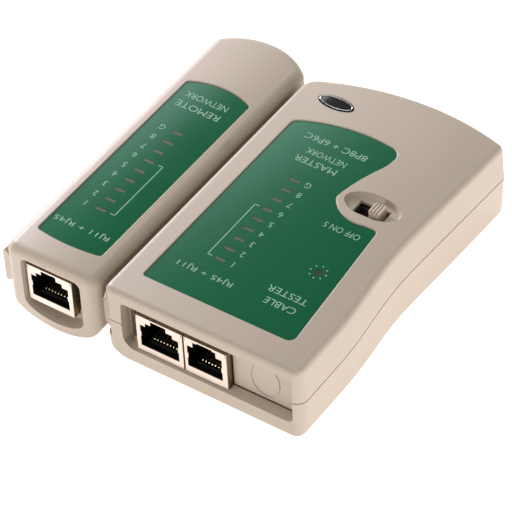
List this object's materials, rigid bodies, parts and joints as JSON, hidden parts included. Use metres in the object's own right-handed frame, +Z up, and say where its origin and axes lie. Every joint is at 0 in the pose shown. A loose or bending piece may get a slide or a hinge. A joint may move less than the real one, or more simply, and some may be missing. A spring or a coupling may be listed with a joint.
{
  "type": "network cable tester",
  "caption": "Hand-held network cable tester: a wide master unit with shielded sockets, slide switch and lights, and a slim remote unit that slides off a side rail.",
  "frame": {"origin": "centre of the footprint of both units joined, on the surface they stand on", "axes": "+Z up, +X from the remote unit towards the master unit, +Y from the jack end towards the far end"},
  "size_m": [0.0979, 0.1082, 0.0258],
  "materials": {
    "housing_plastic": "fine satin moulded ABS, pale warm grey",
    "label_film": "dark green printed overlay film",
    "window_film": "translucent smoky windows",
    "badge_plastic": "glossy black",
    "shield_steel": "tinned sheet metal",
    "jack_plastic": "black socket insert",
    "contact_gold": "gold-flashed wires",
    "board_laminate": "green circuit board",
    "light_epoxy": "green tinted epoxy",
    "power_epoxy": "red tinted epoxy",
    "chip_black": "black moulded chips with tinned pins",
    "resistor_body": "beige lacquer",
    "diode_glass": "orange glass bodies",
    "capacitor_sleeve": "dark blue sleeve",
    "switch_steel": "plated steel",
    "switch_phenolic": "brown insulating plate",
    "terminal_brass": "tinned brass",
    "knob_plastic": "black ribbed slider",
    "battery_case": "plain dark block battery without markings",
    "battery_studs": "nickel plated snap studs",
    "snap_plastic": "black snap plate",
    "foam": "dark foam pad",
    "red_sleeve": "red insulation",
    "black_sleeve": "black insulation",
    "screw_steel": "plated steel screws"
  },
  "bodies": {
    "master": {"master_top_shell": "housing_plastic", "master_bottom_shell": "housing_plastic", "master_label": "label_film", "master_label_windows": "window_film", "power_window": "window_film", "oval_badge": "badge_plastic", "wide_jack_shield": "shield_steel", "narrow_jack_shield": "shield_steel", "wide_jack_insert": "jack_plastic", "narrow_jack_insert": "jack_plastic", "wide_jack_contacts": "contact_gold", "narrow_jack_contacts": "contact_gold", "master_board": "board_laminate", "master_lights": "light_epoxy", "power_light": "power_epoxy", "timer_chip": "chip_black", "counter_chip": "chip_black", "master_resistors": "resistor_body", "master_diodes": "diode_glass", "master_capacitors": "capacitor_sleeve", "switch_can": "switch_steel", "switch_base": "switch_phenolic", "switch_terminals": "terminal_brass", "battery": "battery_case", "battery_terminals": "battery_studs", "battery_snap_plate": "snap_plastic", "battery_foam_pad": "foam", "battery_lead_red": "red_sleeve", "battery_lead_black": "black_sleeve", "master_housing_screws": "screw_steel", "master_board_screws": "screw_steel"},
    "remote": {"remote_top_shell": "housing_plastic", "remote_bottom_shell": "housing_plastic", "remote_label": "label_film", "remote_label_windows": "window_film", "remote_jack_shield": "shield_steel", "remote_jack_insert": "jack_plastic", "remote_jack_contacts": "contact_gold", "remote_board": "board_laminate", "remote_lights": "light_epoxy", "remote_resistors": "resistor_body", "remote_diodes": "diode_glass", "remote_housing_screws": "screw_steel", "remote_board_screws": "screw_steel"},
    "switch_slider": {"switch_knob": "knob_plastic"},
    "battery_door": {"battery_cover": "housing_plastic"}
  },
  "joints": [
    {"name": "remote_slide", "type": "slide", "parent": "master", "child": "remote", "axis": [0, -1, 0], "range_m": [0, 0.095]},
    {"name": "switch_slide", "type": "slide", "parent": "master", "child": "switch_slider", "axis": [-1, 0, 0], "range_m": [0, 0.0048]},
    {"name": "battery_cover_slide", "type": "slide", "parent": "master", "child": "battery_door", "axis": [0, 1, 0], "range_m": [0, 0.04]}
  ]
}
